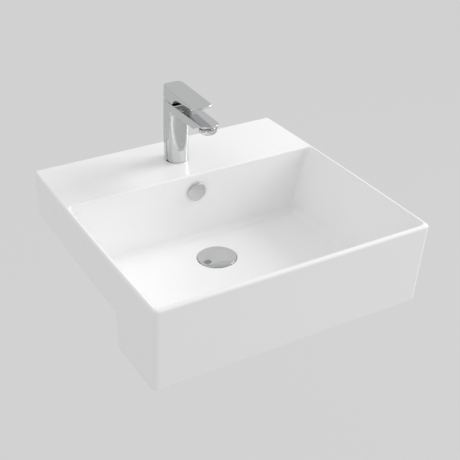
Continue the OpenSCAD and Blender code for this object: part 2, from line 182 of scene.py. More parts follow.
def surface_mesh(name, form, lines, origin):
    """A closed mesh of quads on the surface where form is zero, with normals from the form itself."""
    p, quads = rough_surface(form, lines)
    finest = min(np.diff(line).min() for line in lines)
    p = settle(form, p, 0.6 * finest)
    normals = gradient(form, p)
    normals /= np.linalg.norm(normals, axis=1)[:, None]
    mesh = bpy.data.meshes.new(name)
    mesh.from_pydata((p * MM + np.array(origin)).tolist(), [], quads.tolist())
    mesh.shade_smooth()
    mesh.normals_split_custom_set_from_vertices(normals.tolist())
    return new_object(name, mesh)


def new_object(name, mesh):
    obj = bpy.data.objects.new(name, mesh)
    bpy.context.scene.collection.objects.link(obj)
    return obj


# ---------------------------------------------------------------- basin
# Millimetres: x from the middle, y back from the front edge, z above the bench.
BOW = 2.5                    # how far the sides bow out at mid depth
FRONT_LEAN = 16.0            # run of the front face over its whole height
SKIRT_DROP = 64.0
SKIRT_D = 134.0
SKIRT_LEAN = 3.0
SKIRT_REAR_R = 3.0           # the skirt's lower rear edge, and the corner above it
FRONT_RUN = FRONT_LEAN / (RIM + SKIRT_DROP)
FRONT_CORNER_R = 9.0
REAR_CORNER_R = 6.0
RIM_OUT_R = 4.5
RIM_IN_R = 2.6
FOOT_R = 3.0
WALL = 12.0
RIM_T = 8.5                  # at the front
SIDE_RIM = 6.5
DECK_Y = 323.0
DECK_T = 14.0
FLOOR_Z = RIM - 121.0
FLOOR_FALL = 2.0
FLOOR_FALL_R = 175.0         # where the floor starts to fall to the waste
BOWL_HALF_FLOOR = 197.0
FRONT_SLOPE = 24.0
BACK_SLOPE = 2.0
CREASE_R = 10.0
BOWL_CORNER_R = 8.0
SHELL_BACK_Y = DECK_Y + BACK_SLOPE + WALL
SHELL_TOP_Z = 12.0           # above this the rim band is the bowl's wall
SHELL_INSET = 7.0            # how far the bowl's shell stays behind the outer faces
SHELL_FILLET_R = 5.0
SKIRT_SPACE_R = 8.0
SKIRT_SPACE_EDGE_R = 2.0
DECK_SPACE_HALF = HALF_W - WALL - 14     # the open space below the deck, thick walls around it
DECK_SPACE_BACK_Y = BASIN_D - 24
DECK_SPACE_R = 10.0
DECK_SPACE_TOP_R = 8.0
DECK_SPACE_EDGE_R = 3.0
DUCT_HALF = 27.0
DUCT_LOW_Z = -81.0
DUCT_ROOF_Z = -50.0          # top of the part below the bowl's floor
DUCT_TOP_Z = RIM - 6
DUCT_OVERLAP = 8.0           # how far it reaches into the bowl's back wall
DUCT_BACK_Y = SHELL_BACK_Y + 20
DUCT_EDGE_R = 6.0
DUCT_FILLET_R = 4.0
RECESS_R = 33.5              # seat of the waste's flange, sunk in the floor
RECESS_Z = plug_lo.z / MM + 3
WASTE_HOLE_R = 22.5
WASTE_EDGE_R = 1.0
BOSS_R = 42.0
BOSS_Z = basin_lo.z / MM
BOSS_TOP_Z = FLOOR_Z - 4
BOSS_EDGE_R = 1.5
OVERFLOW_HOLE_R = 12.0
OVERFLOW_HOLE_Y = DECK_Y + 8.0   # middle of the cut, from front to back
OVERFLOW_HOLE_HALF = 16.0        # half of its length
TAP_HOLE_R = 17.5
HOLE_EDGE_R = 0.8


def half_width(y):
    """Half of the basin's width at one depth: its sides bow out a little."""
    middle = BASIN_D / 2
    return HALF_W - BOW * ((y - middle) / middle) ** 2


def outer_form(x, y, z):
    """The outside of the ceramic: rim band all round, skirt in front."""
    front = ((RIM - z) * FRONT_RUN - y) / math.hypot(1, FRONT_RUN)
    plan = round_max(np.abs(x) - half_width(y), front, FRONT_CORNER_R)
    plan = round_max(plan, y - BASIN_D, REAR_CORNER_R)
    rear = y - SKIRT_D + SKIRT_LEAN * np.clip(-z / SKIRT_DROP, 0, 2)
    skirt = round_max(-SKIRT_DROP - z, rear, SKIRT_REAR_R)
    under = round_min(-z, skirt, SKIRT_REAR_R)
    outer = round_max(plan, under, FOOT_R)
    return round_max(outer, z - RIM, RIM_OUT_R)


def bowl_form(x, y, z):
    """The hollow of the bowl."""
    rise = RIM - FLOOR_Z
    up = (z - FLOOR_Z) / rise
    flare = half_width(y) - SIDE_RIM - BOWL_HALF_FLOOR
    sides = (np.abs(x) - BOWL_HALF_FLOOR - flare * up) / np.hypot(1, flare / rise)
    front = (RIM_T + FRONT_SLOPE * (1 - up) - y) / math.hypot(1, FRONT_SLOPE / rise)
    back = y - DECK_Y - BACK_SLOPE * (1 - up)
    walls = round_max(sides, round_max(front, back, BOWL_CORNER_R), BOWL_CORNER_R)
    out = np.hypot(x, y - WASTE_Y)
    floor = FLOOR_Z - FLOOR_FALL * (1 - smooth_step(out, RECESS_R, FLOOR_FALL_R)) - z
    return round_max(walls, floor, CREASE_R)


def shell_form(x, y, z):
    """The bowl's own wall, below the rim band."""
    outside = np.maximum(np.abs(x) - half_width(y), (RIM - z) * FRONT_RUN - y)
    shell = np.maximum(bowl_form(x, y, z) - WALL, z - SHELL_TOP_Z)
    return np.maximum(shell, outside + SHELL_INSET)


def skirt_space_form(x, y, z):
    """The open space behind the skirt, below the bowl."""
    plan = round_max(np.abs(x) - HALF_W + WALL + BOW, FRONT_LEAN + WALL - y, SKIRT_SPACE_R)
    return np.maximum(plan, z - FLOOR_Z + WALL)


def deck_space_form(x, y, z):
    """The open space below the tap deck."""
    depth = between(y, SHELL_BACK_Y, DECK_SPACE_BACK_Y)
    plan = round_max(np.abs(x) - DECK_SPACE_HALF, depth, DECK_SPACE_R)
    return round_max(plan, z - (RIM - DECK_T), DECK_SPACE_TOP_R)


def duct_form(x, y, z):
    """The overflow channel's ribs, behind the bowl and under its floor."""
    side = np.abs(x) - DUCT_HALF
    upright = round_max(side, between(y, SHELL_BACK_Y - DUCT_OVERLAP, DUCT_BACK_Y), DUCT_EDGE_R)
    upright = round_max(upright, between(z, DUCT_LOW_Z, DUCT_TOP_Z), DUCT_EDGE_R)
    flat = round_max(side, between(z, DUCT_LOW_Z, DUCT_ROOF_Z), DUCT_EDGE_R)
    flat = round_max(flat, between(y, WASTE_Y, DUCT_BACK_Y), DUCT_EDGE_R)
    return np.minimum(upright, flat)


def waste_seat_form(x, y, z):
    """The shallow recess around the waste hole."""
    return np.maximum(np.hypot(x, y - WASTE_Y) - RECESS_R, RECESS_Z - z)


def overflow_hole_form(x, y, z):
    hole = np.hypot(x, z - OVERFLOW_Z) - OVERFLOW_HOLE_R
    return np.maximum(hole, np.abs(y - OVERFLOW_HOLE_Y) - OVERFLOW_HOLE_HALF)


def tap_hole_form(x, y, z):
    hole = np.hypot(x, y - TAP_Y) - TAP_HOLE_R
    return np.maximum(hole, np.abs(z - RIM + DECK_T / 2) - DECK_T)


def basin_form(x, y, z):
    """The whole ceramic body."""
    from_waste = np.hypot(x, y - WASTE_Y)
    boss = round_max(from_waste - BOSS_R, between(z, BOSS_Z, BOSS_TOP_Z), BOSS_EDGE_R)
    solid = round_max(outer_form(x, y, z), -deck_space_form(x, y, z), DECK_SPACE_EDGE_R)
    solid = round_max(solid, -skirt_space_form(x, y, z), SKIRT_SPACE_EDGE_R)
    solid = round_min(solid, shell_form(x, y, z), SHELL_FILLET_R)
    solid = round_min(solid, boss, SHELL_FILLET_R)
    solid = round_min(solid, duct_form(x, y, z), DUCT_FILLET_R)
    solid = round_max(solid, -bowl_form(x, y, z), RIM_IN_R)
    solid = round_max(solid, -waste_seat_form(x, y, z), HOLE_EDGE_R)
    solid = round_max(solid, WASTE_HOLE_R - from_waste, WASTE_EDGE_R)
    solid = round_max(solid, -overflow_hole_form(x, y, z), HOLE_EDGE_R)
    return round_max(solid, -tap_hole_form(x, y, z), HOLE_EDGE_R)


def make_basin():
    """The grid is fine where the ceramic curves and coarse across its flat stretches."""
    xs = mirrored(grid_line((0, 36, 2.4), (36, 186, 6), (186, 218, 2.2), (218, 234, 0.9)))
    ys = grid_line(
        (-1, 20, 1.0), (20, 42, 2.2), (42, 126, 6), (126, 138, 1.5), (138, 212, 6), (212, 292, 2.5),
        (292, 316, 4), (316, 340, 1.4), (340, 372, 4), (372, 416, 2.2), (416, 444, 4), (444, 471, 1.0),
    )
    zs = grid_line(
        (BOSS_Z - 2, -46, 1.9), (-46, -26, 1.3), (-26, -4, 3), (-4, 4, 1), (4, 30, 4),
        (30, 66, 2.4), (66, 76, 1.4), (76, 82, 0.8),
    )
    return surface_mesh("ceramic_basin", basin_form, (xs, ys, zs), BASIN_ORIGIN)


# ---------------------------------------------------------------- tap body
# Millimetres from the tap's axis, z above the deck; the spout points along -y.
SPOUT_TOP = 110.0
SPOUT_T = 14.5
SPOUT_RISE = 11.5            # how far the underside rises from the root to the tip
SPOUT_RISE_START = -98.0
BASE_R = 20.8
TOP_HALF = 17.5
TIP_R = 18.5                 # rounded tip of the spout, in plan
TIP_PAST_OUTLET = 17.0
TIP_MIDDLE = -(REACH + TIP_PAST_OUTLET - TIP_R)
SPOUT_NARROWING = 1.9        # on each side, from the root to the tip
NARROWING_START = -40.0
NARROWING_RUN = 84.0
ARCH_R = 12.0
FOOT_CORNER_R = 18.0         # upright corners of the column at the deck
COLUMN_CORNER_R = 9.0        # at the top, in front
COLUMN_BACK_R = 13.3         # at the top, behind
CORNER_CHANGE_Z = (-10, 70)  # heights between which these corners change
SPOUT_EDGE_R = 1.2           # lower edges of the spout, taken over from the corners
SPOUT_EDGE_OUT = (16, 32)    # between these distances in front of the axis
SPOUT_EDGE_Z = (72, 92)      # and these heights
TIP_EDGE_R = 1.5
TOP_EDGE_R = 0.9
FOOT_GAP = 0.5               # seal between the foot and the deck
FOOT_EDGE_R = 0.6
SHROUD_SEAT_R = 13.15
SHROUD_SEAT_DEPTH = 10.0
COLLAR_R = 14.8              # aerator collar
COLLAR_GAP = 0.3
COLLAR_DEPTH = 7.0
OUTLET_EDGE_R = 0.3
AERATOR_THREAD_R = 12.15
AERATOR_THREAD_DEPTH = 5.0
INLET_X = 7.5
INLET_Y = -4.0
INLET_R = 5.0
INLET_TOP_Z = 18.0


def column_half(z):
    """The column tapers from a round foot to a squarish top."""
    return BASE_R - (BASE_R - TOP_HALF) * z / SPOUT_TOP


def spout_profile(y, z, half):
    """Side view of the column and the flat spout, with the arch between them."""
    column = between(y, -half, half)
    u = np.clip((SPOUT_RISE_START - y) / (TIP_R - TIP_MIDDLE + SPOUT_RISE_START), 0, 1)
    under = SPOUT_TOP - SPOUT_T + SPOUT_RISE * u * (2 - u)
    blade = np.maximum(under - z, y)
    return round_min(column, blade, ARCH_R)


def tap_outside_form(x, y, z):
    """The column and the spout without their holes."""
    half = column_half(z)
    up = smooth_step(z, *CORNER_CHANGE_Z)
    on_spout = smooth_step(-y, *SPOUT_EDGE_OUT) * smooth_step(z, *SPOUT_EDGE_Z)
    corner = FOOT_CORNER_R + (COLUMN_CORNER_R - FOOT_CORNER_R) * up
    corner = corner + (SPOUT_EDGE_R - corner) * on_spout
    narrowing = SPOUT_NARROWING * np.clip((NARROWING_START - y) / NARROWING_RUN, 0, 1)
    tip = np.hypot(x, np.minimum(y - TIP_MIDDLE, 0)) - TIP_R
    sides = round_max(np.abs(x) - half + narrowing, tip, TIP_EDGE_R)
    front = round_max(sides, spout_profile(y, z, half), corner)
    back_corner = FOOT_CORNER_R + (COLUMN_BACK_R - FOOT_CORNER_R) * up
    back = round_max(np.abs(x) - half, y - half, back_corner)
    solid = np.where(y > 0, back, front)
    solid = round_max(solid, z - SPOUT_TOP, TOP_EDGE_R)
    return round_max(solid, FOOT_GAP - z, FOOT_EDGE_R)


def outlet_form(x, y, z):
    """The stepped pocket under the tip, for the aerator."""
    radius = np.hypot(x, y + REACH)
    collar = np.maximum(radius - COLLAR_R - COLLAR_GAP, z - SPOUT_TOP + COLLAR_DEPTH)
    thread = np.maximum(radius - AERATOR_THREAD_R, z - SPOUT_TOP + AERATOR_THREAD_DEPTH)
    return np.minimum(collar, thread)


def tap_body_form(x, y, z):
    """The whole tap body."""
    solid = tap_outside_form(x, y, z)
    seat = np.maximum(np.hypot(x, y) - SHROUD_SEAT_R, SPOUT_TOP - SHROUD_SEAT_DEPTH - z)
    solid = np.maximum(solid, -seat)
    solid = round_max(solid, -outlet_form(x, y, z), OUTLET_EDGE_R)
    for side in (-1, 1):
        inlet = np.hypot(x - side * INLET_X, y - INLET_Y) - INLET_R
        solid = np.maximum(solid, -np.maximum(inlet, z - INLET_TOP_Z))
    return solid


def make_tap_body():
    xs = mirrored(grid_line((0, 21.0, 0.7)))
    ys = grid_line((TIP_MIDDLE - TIP_R - 1, -98, 0.7), (-98, -36, 1.3), (-36, 21, 0.8))
    zs = grid_line((0, 3, 0.5), (3, 76, 1.6), (76, 111.4, 0.6))
    return surface_mesh("mixer_body", tap_body_form, (xs, ys, zs), TAP_ORIGIN)


# ---------------------------------------------------------------- lever
# In the tap body's measures. The lever is a thin blade in front and a deep block behind.
LEVER_Z = SPOUT_TOP + 1.0
LEVER_TIP_R = 29.0
LEVER_TIP_MIDDLE = -74.0
LEVER_HALF = 17.5
LEVER_WIDENING = 1.0         # on each side, from the axis to the tip
LEVER_WIDENING_RUN = 96.0
LEVER_CORNER_R = 9.5         # upright corners at the back
CROWN_Z = 134.92             # top at the axis
CROWN_RISE = 0.0425          # toward the back
BACK_Y = 14.2                # back face at the heel's height
BACK_LEAN = 0.15
HEEL_Z = LEVER_Z + 6.5
HEEL_START_Y = -8.0          # from here to the back the block's underside rises
HEEL_RISE = 0.27
BLOCK_FRONT_Y = -24.0
BLOCK_FRONT_LEAN = 0.83
BLADE_START_Y = -48.0
BLADE_UNDER_Z = 124.6
BLADE_RISE = 0.066           # toward the tip
BLADE_FILLET_R = 9.0
LEVER_TIP_CORNER_R = 2.0     # edge radii
BLOCK_EDGE_R = 1.5
HEEL_EDGE_R = 1.0
LOWER_EDGE_R = 0.8
CROWN_EDGE_R = 0.9
CAVITY_TOP = 14.0            # heights in the cavity are above LEVER_Z
CAVITY_HEIGHTS = (0.0, 1.5, 5.5, 8.0, CAVITY_TOP)
CAVITY_RADII = (15.7, 15.7, 12.8, 12.3, 9.5)
STEM_BOSS_HALF = 6.0         # square boss around the stem
STEM_BOSS_Z = LEVER_Z + 5.0
RIB_Z = LEVER_Z + 6.5        # rib from the boss to the back wall, around the screw
SOCKET_HALF = 3.05
SOCKET_TOP = 15.1
SCREW_Z = LEVER_Z + 11.0
SCREW_R = 2.0
SCREW_START_Y = 3.0
INDEX_R = 3.0                # seat of the coloured index plug
INDEX_Y = 12.9


def square_rod(x, y, half):
    """An upright square rod on the tap's axis."""
    return np.maximum(np.abs(x), np.abs(y)) - half


def lever_outside_form(x, y, z):
    """The lever without its holes."""
    half = LEVER_HALF + LEVER_WIDENING * np.clip(-y / LEVER_WIDENING_RUN, 0, 1)
    tip = np.hypot(x, np.minimum(y - LEVER_TIP_MIDDLE, 0)) - LEVER_TIP_R
    back = (y - BACK_Y + BACK_LEAN * (z - HEEL_Z)) / math.hypot(1, BACK_LEAN)
    plan = round_max(round_max(np.abs(x) - half, back, LEVER_CORNER_R), tip, LEVER_TIP_CORNER_R)
    front = BLOCK_FRONT_Y - BLOCK_FRONT_LEAN * (z - LEVER_Z) - y
    block = round_max(LEVER_Z - z, front / math.hypot(1, BLOCK_FRONT_LEAN), BLOCK_EDGE_R)
    heel = LEVER_Z + HEEL_RISE * (y - HEEL_START_Y) - z
    block = round_max(block, heel / math.hypot(1, HEEL_RISE), HEEL_EDGE_R)
    blade = BLADE_UNDER_Z + BLADE_RISE * (BLADE_START_Y - y) - z
    under = round_min(block, blade, BLADE_FILLET_R)
    crown = z - CROWN_Z - CROWN_RISE * y
    return round_max(round_max(plan, under, LOWER_EDGE_R), crown, CROWN_EDGE_R)


def lever_cavity_form(x, y, z):
    """The hollow over the cartridge, less the boss that holds the stem and the screw."""
    radius = np.interp(z - LEVER_Z, CAVITY_HEIGHTS, CAVITY_RADII)
    cavity = np.maximum(np.hypot(x, y) - radius, z - LEVER_Z - CAVITY_TOP)
    boss = np.maximum(square_rod(x, y, STEM_BOSS_HALF), STEM_BOSS_Z - z)
    rib = np.maximum(np.maximum(np.abs(x) - STEM_BOSS_HALF, -y), RIB_Z - z)
    return np.maximum(cavity, -np.minimum(boss, rib))


def lever_form(x, y, z):
    """The whole lever."""
    solid = np.maximum(lever_outside_form(x, y, z), -lever_cavity_form(x, y, z))
    socket = np.maximum(square_rod(x, y, SOCKET_HALF), z - LEVER_Z - SOCKET_TOP)
    solid = np.maximum(solid, -socket)
    screw_r = np.where(y > INDEX_Y, INDEX_R, SCREW_R)
    screw_hole = np.maximum(np.hypot(x, z - SCREW_Z) - screw_r, SCREW_START_Y - y)
    return np.maximum(solid, -screw_hole)


def make_lever():
    xs = mirrored(grid_line((0, 19.6, 0.7)))
    tip = LEVER_TIP_MIDDLE - LEVER_TIP_R
    ys = grid_line((tip - 1, tip + 8, 0.7), (tip + 8, -36, 1.5), (-36, 18.6, 0.7))
    zs = grid_line((LEVER_Z - 1, 136.5, 0.55))
    return surface_mesh("mixer_lever", lever_form, (xs, ys, zs), TAP_ORIGIN)


# ---------------------------------------------------------------- threaded pieces
# Millimetres from each piece's own axis. The waste and its nut stand in heights above the bench.
TAIL_TOP = tail_hi.z / MM
TAIL_LOW = tail_lo.z / MM
TAIL_R = 20.9
TAIL_BORE_R = 18.0
TAIL_THREAD_TOP = -104.0
TAIL_THREAD_T = 1.1
TAIL_PITCH = 2.309           # G 1 1/4
TAIL_RELIEF = 0.2            # the plain part is this much thinner than the thread's crest
FLANGE_R = 32.0
FLANGE_T = 2.5
DISH_R = 30.4
DISH_T = 1.0
SLOT_Z = -66.0
SLOT_HALF_W = 5.0
SLOT_HALF_H = 4.0
WEB_Z = -69.0
WEB_HALF_W = 1.5
WEB_HALF_H = 3.0
WEB_END_R = 18.4             # the arms reach into the tail's wall
HUB_R = 9.0
HUB_BORE_R = 5.05
NUT_TOP = nut_hi.z / MM
NUT_LOW = nut_lo.z / MM
NUT_HALF = 26.0              # half of the width across the flats
NUT_CORNER_R = 29.6
NUT_CHAMFER_R = 28.0         # at 1 mm above the nut's lower face
NUT_CHAMFER_SLOPE = 0.5
NUT_FACE_R = 30.5            # washer face on top
NUT_FACE_T = 2.0
NUT_BORE_R = 21.0
STUD_R = 2.98                # M6
STUD_THREAD_T = 0.5
STUD_PITCH = 1.0
STUD_LOW = (stud_lo.z - basin_hi.z) / MM
STUD_TOP = (stud_hi.z - basin_hi.z) / MM


def thread_depth(x, y, z, pitch, depth):
    """How far a right-handed thread is cut in, at one place."""
    turn = z / pitch - np.arctan2(y, x) / (2 * np.pi)
    return depth * np.abs(2 * (turn - np.round(turn)))


def tail_form(x, y, z):
    """The waste's tail, threaded on its lower part."""
    on_thread = smooth_step(TAIL_THREAD_TOP - z, 0, 0.6) * smooth_step(z - TAIL_LOW, 0.4, 1.6)
    cut = thread_depth(x, y, z, TAIL_PITCH, TAIL_THREAD_T) * on_thread
    side = np.hypot(x, y) - TAIL_R + cut + TAIL_RELIEF * (1 - on_thread)
    return round_max(side, TAIL_LOW - z, 0.5)


def web_form(x, y, z):
    """Three arms and the hub that guides the plug."""
    radius = np.hypot(x, y)
    third = np.mod(np.arctan2(y, x) + np.pi / 3, 2 * np.pi / 3) - np.pi / 3
    arm = np.maximum(np.abs(radius * np.sin(third)) - WEB_HALF_W, between(radius, HUB_R - 1, WEB_END_R))
    web = np.minimum(arm, between(radius, HUB_BORE_R, HUB_R))
    return np.maximum(web, np.abs(z - WEB_Z) - WEB_HALF_H)


def waste_body_form(x, y, z):
    """Flanged waste with a slotted tail."""
    radius = np.hypot(x, y)
    flange = np.abs(z - TAIL_TOP + FLANGE_T / 2) - FLANGE_T / 2
    flange = round_max(radius - FLANGE_R, flange, 0.6)
    solid = np.maximum(np.minimum(tail_form(x, y, z), flange), z - TAIL_TOP)
    dish = np.maximum(radius - DISH_R, TAIL_TOP - DISH_T - z)
    solid = np.maximum(solid, -dish)
    solid = round_max(solid, TAIL_BORE_R - radius, 0.4)
    quarter = np.abs(np.mod(np.arctan2(y, x), np.pi / 2) - np.pi / 4)
    slot = np.maximum(np.abs(radius * np.sin(quarter)) - SLOT_HALF_W, np.abs(z - SLOT_Z) - SLOT_HALF_H)
    solid = round_max(solid, -slot, 0.4)
    return np.minimum(solid, web_form(x, y, z))


def make_waste_body():
    xs = mirrored(grid_line((0, 22, 0.55), (22, FLANGE_R + 1.2, 0.8)))
    zs = grid_line(
        (TAIL_LOW - 1, TAIL_THREAD_TOP + 1, 0.42), (TAIL_THREAD_TOP + 1, -75, 1.4), (-75, -58, 0.8),
        (-58, -50, 1.4), (-50, TAIL_TOP + 0.6, 0.5),
    )
    return surface_mesh("threaded_waste", waste_body_form, (xs, xs, zs), WASTE_ORIGIN)


def backnut_form(x, y, z):
    """Hexagon nut with a washer face on top and a chamfer below."""
    radius = np.hypot(x, y)
    flats = np.abs(y)
    for turn in (math.pi / 3, -math.pi / 3):
        flats = np.maximum(flats, np.abs(y * math.cos(turn) + x * math.sin(turn)))
    hexagon = round_max(flats - NUT_HALF, radius - NUT_CORNER_R, 0.5)
    hexagon = round_max(hexagon, between(z, NUT_LOW, NUT_TOP), 0.6)
    chamfer = radius - NUT_CHAMFER_R + NUT_CHAMFER_SLOPE * (NUT_LOW + 1 - z)
    chamfer = chamfer / math.hypot(1, NUT_CHAMFER_SLOPE)
    hexagon = round_max(hexagon, chamfer, 0.4)
    washer = round_max(radius - NUT_FACE_R, between(z, NUT_TOP - NUT_FACE_T, NUT_TOP), 0.6)
    return round_max(round_min(hexagon, washer, 0.6), NUT_BORE_R - radius, 0.6)


def make_backnut():
    xs = mirrored(grid_line((0, NUT_FACE_R + 1, 0.9)))
    zs = grid_line((NUT_LOW - 1, NUT_TOP + 1, 0.6))
    return surface_mesh("hexagon_backnut", backnut_form, (xs, xs, zs), WASTE_ORIGIN)


def stud_form(x, y, z):
    """Fixing stud, heights above the deck."""
    cut = thread_depth(x, y, z, STUD_PITCH, STUD_THREAD_T)
    return round_max(np.hypot(x, y) - STUD_R + cut, between(z, STUD_LOW, STUD_TOP), 0.4)


def make_stud():
    xs = mirrored(grid_line((0, 3.4, 0.28)))
    zs = grid_line((STUD_LOW - 0.6, STUD_TOP + 0.6, 0.2))
    origin = (0.0, (stud_lo.y + stud_hi.y) / 2, basin_hi.z)
    return surface_mesh("threaded_stud", stud_form, (xs, xs, zs), origin)


# ---------------------------------------------------------------- turned pieces
# Corners are (radius, height, fillet radius) in millimetres.
PLUG_NECK = 7.0              # the dome's underside above the foot of the plug's neck
PLUG_EDGE_T = 2.0
CAP_GAP = 3.0                # between the bowl's back wall and the overflow cap
AERATOR_LIP_R = 8.5
AERATOR_BORE_R = 9.5
AERATOR_NECK_R = 12.0        # threaded part, in the spout's pocket
AERATOR_NECK_Z = SPOUT_TOP - AERATOR_THREAD_DEPTH - 1
SHROUD_BORE_R = 9.4
SHROUD_NECK_R = 13.1         # part inside the tap body's seat
SHROUD_R = 15.2


def rounded_profile(corners, steps=5):
    """A closed outline of (radius, height) points from corners with fillets."""
    points = []
    n = len(corners)
    for i, (r, z, fillet) in enumerate(corners):
        here = np.array([r, z])
        if fillet <= 0:
            points.append(here)
            continue
        before = np.array(corners[i - 1][:2]) - here
        after = np.array(corners[(i + 1) % n][:2]) - here
        a = before / np.linalg.norm(before)
        b = after / np.linalg.norm(after)
        half_angle = math.acos(np.clip(a @ b, -1, 1)) / 2
        reach = fillet / math.tan(half_angle)
        middle = here + (a + b) / np.linalg.norm(a + b) * fillet / math.sin(half_angle)
        start = here + a * reach - middle
        end = here + b * reach - middle
        for k in range(steps + 1):
            t = k / steps
            swing = start * (1 - t) + end * t
            points.append(middle + swing / np.linalg.norm(swing) * fillet)
    return points


def turned_rings(outline, segments):
    """Points of every ring of a turned piece, and each ring's point numbers; one on the axis."""
    verts = []
    rings = []
    for r, z in outline:
        if r < 1e-6:
            rings.append([len(verts)])
            verts.append((0.0, 0.0, z))
            continue
        rings.append(list(range(len(verts), len(verts) + segments)))
        for k in range(segments):
            a = 2 * math.pi * k / segments
            verts.append((r * math.cos(a), r * math.sin(a), z))
    return verts, rings


def faces_between(low, high, segments):
    """Faces from one ring to the next; none between two points on the axis."""
    if len(low) == 1 and len(high) == 1:
        return []
    faces = []
    for k in range(segments):
        m = (k + 1) % segments
        if len(low) == 1:
            faces.append((low[0], high[m], high[k]))
        elif len(high) == 1:
            faces.append((low[k], low[m], high[0]))
        else:
            faces.append((low[k], low[m], high[m], high[k]))
    return faces


def lathe(name, corners, origin, axis="z", segments=96):
    """A turned piece from its closed outline, about z or facing -y."""
    verts, rings = turned_rings(rounded_profile(corners), segments)
    faces = []
    for low, high in zip(rings, rings[1:] + rings[:1]):
        faces += faces_between(low, high, segments)
    if axis == "-y":
        verts = [(x, -z, y) for x, y, z in verts]
    mesh = bpy.data.meshes.new(name)
    ox, oy, oz = origin
    mesh.from_pydata([(x * MM + ox, y * MM + oy, z * MM + oz) for x, y, z in verts], [], faces)
    mesh.shade_smooth()
    mesh.set_sharp_from_angle(angle=math.radians(32))
    return new_object(name, mesh)


def arc_corners(r_edge, z_edge, rise, steps):
    """Corners of a shallow dome from its edge to its top on the axis."""
    corners = []
    for k in range(1, steps + 1):
        inward = k / steps
        corners.append((r_edge * (1 - inward), z_edge + rise * (1 - (1 - inward) ** 2), 0))
    return corners


def make_plug():
    """Domed plug with a rolled edge."""
    r = (plug_hi.x - plug_lo.x) / 2 / MM
    under = plug_lo.z / MM + PLUG_NECK
    edge_top = under + PLUG_EDGE_T
    corners = [
        (0, under, 0), (r - 2.4, under, 0.2), (r - 2.2, under + 0.4, 0.1),
        (r - 0.4, under + 0.4, 0.3), (r, under + 1.0, 0.4), (r - 0.4, under + 1.7, 0.6),
    ]
    corners += arc_corners(r - 1.2, edge_top, plug_hi.z / MM - edge_top, steps=20)
    return lathe("waste_dome", corners, WASTE_ORIGIN, segments=128)


def make_overflow_cap():
    """Flat dome in front of the overflow hole, heights from the bowl's back wall."""
    r = (cap_hi.x - cap_lo.x) / 2 / MM
    corners = [
        (0, CAP_GAP, 0), (r - 1.6, CAP_GAP, 0.2), (r - 0.1, CAP_GAP + 0.3, 0.3),
        (r, CAP_GAP + 1.4, 0.5), (r - 1.0, CAP_GAP + 2.1, 0.6),
    ]
    corners += arc_corners(r - 2.0, CAP_GAP + 2.2, 0.4, steps=8)
    wall = DECK_Y * MM + basin_lo.y
    return lathe("overflow_cover", corners, (0, wall, OVERFLOW_Z * MM), axis="-y")


def make_aerator():
    """Collar that shows below the tip, and its neck in the spout's pocket."""
    low = (aerator_lo.z - basin_hi.z) / MM
    shoulder = SPOUT_TOP - COLLAR_DEPTH - COLLAR_GAP
    corners = [
        (AERATOR_LIP_R, low, 0.2), (12.2, low, 0.5), (14.3, low + 2.4, 0.5),
        (COLLAR_R, low + 3.6, 0.3), (COLLAR_R, shoulder, 0.2), (AERATOR_NECK_R, shoulder, 0.1),
        (AERATOR_NECK_R, AERATOR_NECK_Z, 0.2), (AERATOR_BORE_R, AERATOR_NECK_Z, 0),
        (AERATOR_BORE_R, low + 2, 0), (AERATOR_LIP_R, low + 2, 0.1),
    ]
    origin = (0.0, (aerator_lo.y + aerator_hi.y) / 2, basin_hi.z)
    return lathe("aerator_collar", corners, origin)


def make_shroud():
    """Ring around the cartridge, under the lever."""
    corners = [
        (SHROUD_BORE_R, SPOUT_TOP - 1.5, 0), (SHROUD_NECK_R, SPOUT_TOP - 1.5, 0),
        (SHROUD_NECK_R, SPOUT_TOP, 0), (SHROUD_R, SPOUT_TOP, 0.2), (SHROUD_R, SPOUT_TOP + 0.6, 0.3),
        (12, SPOUT_TOP + 2.8, 0.4), (SHROUD_BORE_R, SPOUT_TOP + 3, 0.2),
    ]
    return lathe("cartridge_ring", corners, TAP_ORIGIN)


# ---------------------------------------------------------------- looks of the materials
def material(name, colour, metallic, roughness):
    """A plain material, before its variation is added."""
    mat = bpy.data.materials.new(name)
    mat.use_nodes = True
    shader = mat.node_tree.nodes["Principled BSDF"]
    shader.inputs["Base Color"].default_value = (*colour, 1)
    shader.inputs["Metallic"].default_value = metallic
    shader.inputs["Roughness"].default_value = roughness
    return mat


def add_node(mat, kind, **values):
    node = mat.node_tree.nodes.new(kind)
    for key, value in values.items():
        node.inputs[key].default_value = value
    return node


def noise(mat, scale, detail=3.0, stretch=None):
    """Noise fixed to the piece, drawn out along one axis where stretch says so."""
    where = mat.node_tree.nodes.new("ShaderNodeTexCoord")
    node = add_node(mat, "ShaderNodeTexNoise", Scale=scale, Detail=detail)
    source = where.outputs["Object"]
    if stretch:
        squeeze = mat.node_tree.nodes.new("ShaderNodeMapping")
        squeeze.inputs["Scale"].default_value = stretch
        mat.node_tree.links.new(source, squeeze.inputs["Vector"])
        source = squeeze.outputs["Vector"]
    mat.node_tree.links.new(source, node.inputs["Vector"])
    return node.outputs["Fac"]


def vary(mat, socket, source, low, high):
    """Drives one socket of the shader from a noise, between two values or two colours."""
    shader = mat.node_tree.nodes["Principled BSDF"]
    if isinstance(low, tuple):
        ramp = mat.node_tree.nodes.new("ShaderNodeMix")
        ramp.data_type = "RGBA"
        ramp.inputs["A"].default_value = (*low, 1)
        ramp.inputs["B"].default_value = (*high, 1)
        mat.node_tree.links.new(source, ramp.inputs["Factor"])
        mat.node_tree.links.new(ramp.outputs["Result"], shader.inputs[socket])
        return
    span = add_node(mat, "ShaderNodeMapRange")
    span.inputs["From Min"].default_value = 0.3
    span.inputs["From Max"].default_value = 0.7
    span.inputs["To Min"].default_value = low
    span.inputs["To Max"].default_value = high
    mat.node_tree.links.new(source, span.inputs["Value"])
    mat.node_tree.links.new(span.outputs["Result"], shader.inputs[socket])


